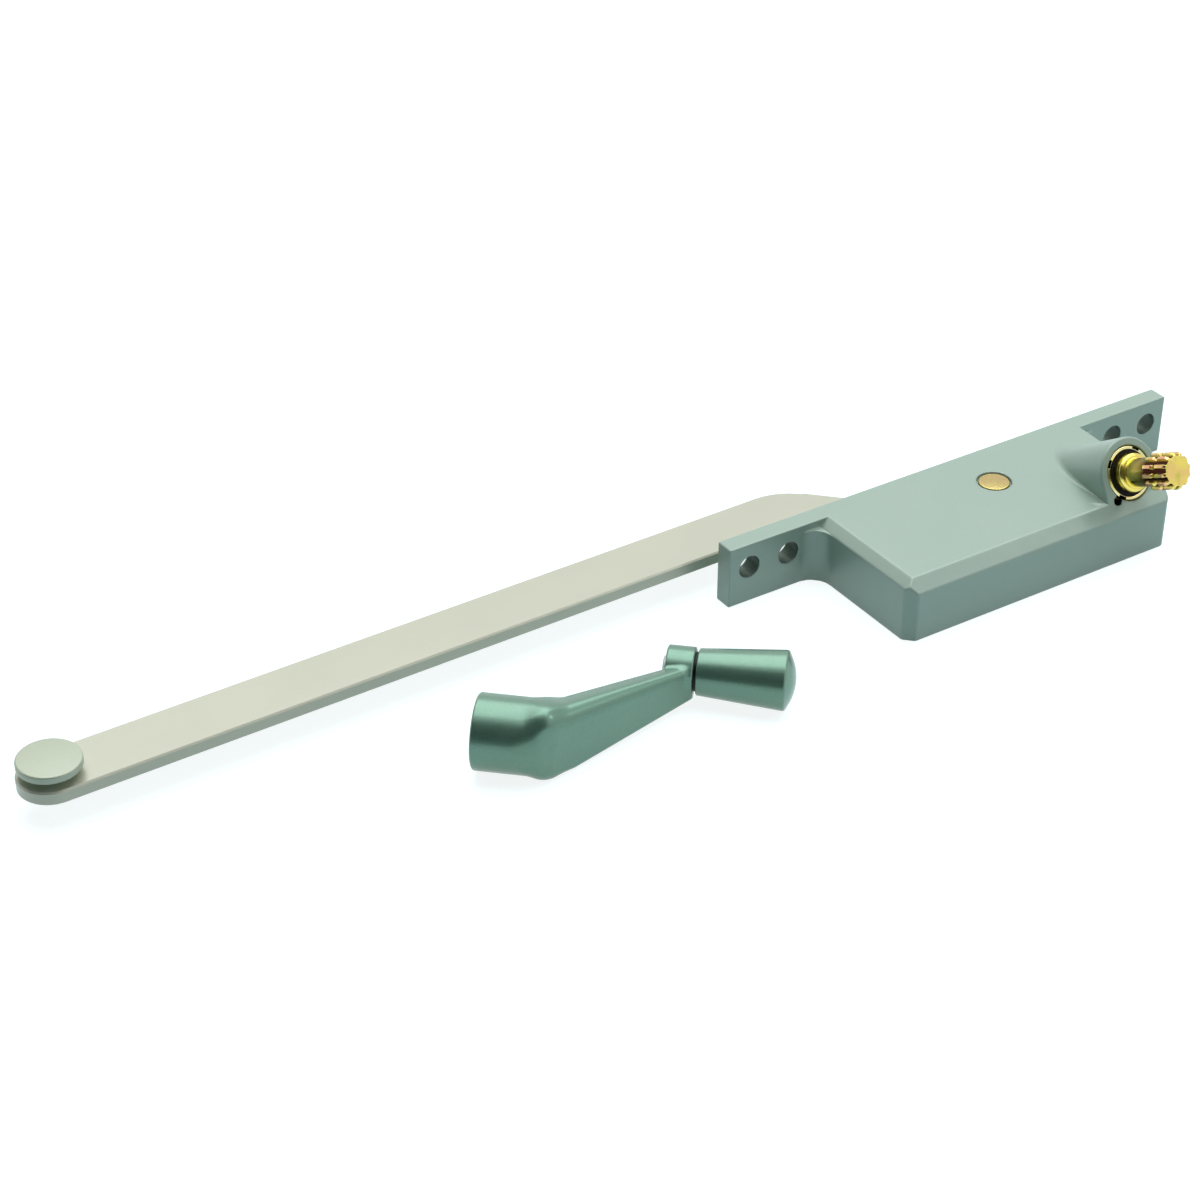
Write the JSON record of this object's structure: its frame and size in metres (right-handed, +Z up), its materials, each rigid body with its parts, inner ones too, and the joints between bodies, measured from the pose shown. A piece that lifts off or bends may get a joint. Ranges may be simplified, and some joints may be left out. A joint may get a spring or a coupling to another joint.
{
  "type": "casement window operator",
  "caption": "Crank-driven casement window operator: flanged die-cast body, worm and gear sector, long dog-leg arm with a guide button, and a separate crank handle.",
  "frame": {"origin": "middle of the mounting screw line, on the back face of the flange", "axes": "+X along the flange towards the crank, +Y out of the back face towards the outdoors, +Z up"},
  "size_m": [0.296, 0.0685, 0.0315],
  "materials": {
    "casting_paint": "satin grey-green paint",
    "arm_paint": "satin warm grey paint",
    "handle_paint": "gloss metallic green paint",
    "yellow_zinc": "yellow zinc plating",
    "plain_steel": "bright zinc plating",
    "bronze": "oiled sintered bronze",
    "black_rubber": "matt black rubber",
    "black_nylon": "matt black nylon",
    "black_steel": "black oxide"
  },
  "bodies": {
    "operator": {"housing": "casting_paint", "base_plate": "plain_steel", "base_plate_screws": "yellow_zinc", "pivot_pin": "yellow_zinc", "pivot_spacer": "plain_steel", "pivot_washer": "black_nylon", "shaft_bush": "bronze", "shaft_washer": "plain_steel", "shaft_seal": "black_rubber", "retaining_collar": "yellow_zinc"},
    "arm": {"arm_bar": "arm_paint", "gear_sector": "plain_steel", "sector_rivets": "plain_steel", "guide_button": "casting_paint", "pivot_bush": "bronze"},
    "crank": {"crank_shaft": "yellow_zinc"},
    "handle": {"crank_handle": "handle_paint", "handle_set_screw": "black_steel", "knob_axle": "plain_steel", "knob_washer": "black_nylon", "knob_clip": "plain_steel"},
    "knob": {"handle_knob": "handle_paint"}
  },
  "joints": [
    {"name": "arm_swing", "type": "hinge", "parent": "operator", "child": "arm", "pos_m": [0.00405, -0.0131, 0], "axis": [0, 0, -1], "range_deg": [0, 90]},
    {"name": "crank_turn", "type": "hinge", "parent": "operator", "child": "crank", "pos_m": [0.02755, -0.0131, 0], "axis": [0, -0.8805, 0.4741], "range_deg": [-3240, 0]},
    {"name": "handle_lift", "type": "slide", "parent": "operator", "child": "handle", "axis": [0, 0, 1], "range_m": [0, 0.06]},
    {"name": "knob_spin", "type": "hinge", "parent": "handle", "child": "knob", "pos_m": [-0.09116, -0.02938, -0.00255], "axis": [0.7349, -0.6782, 0], "continuous": true}
  ],
  "couplings": [
    {"joint": "crank_turn", "follows": "arm_swing", "ratio": -36}
  ]
}
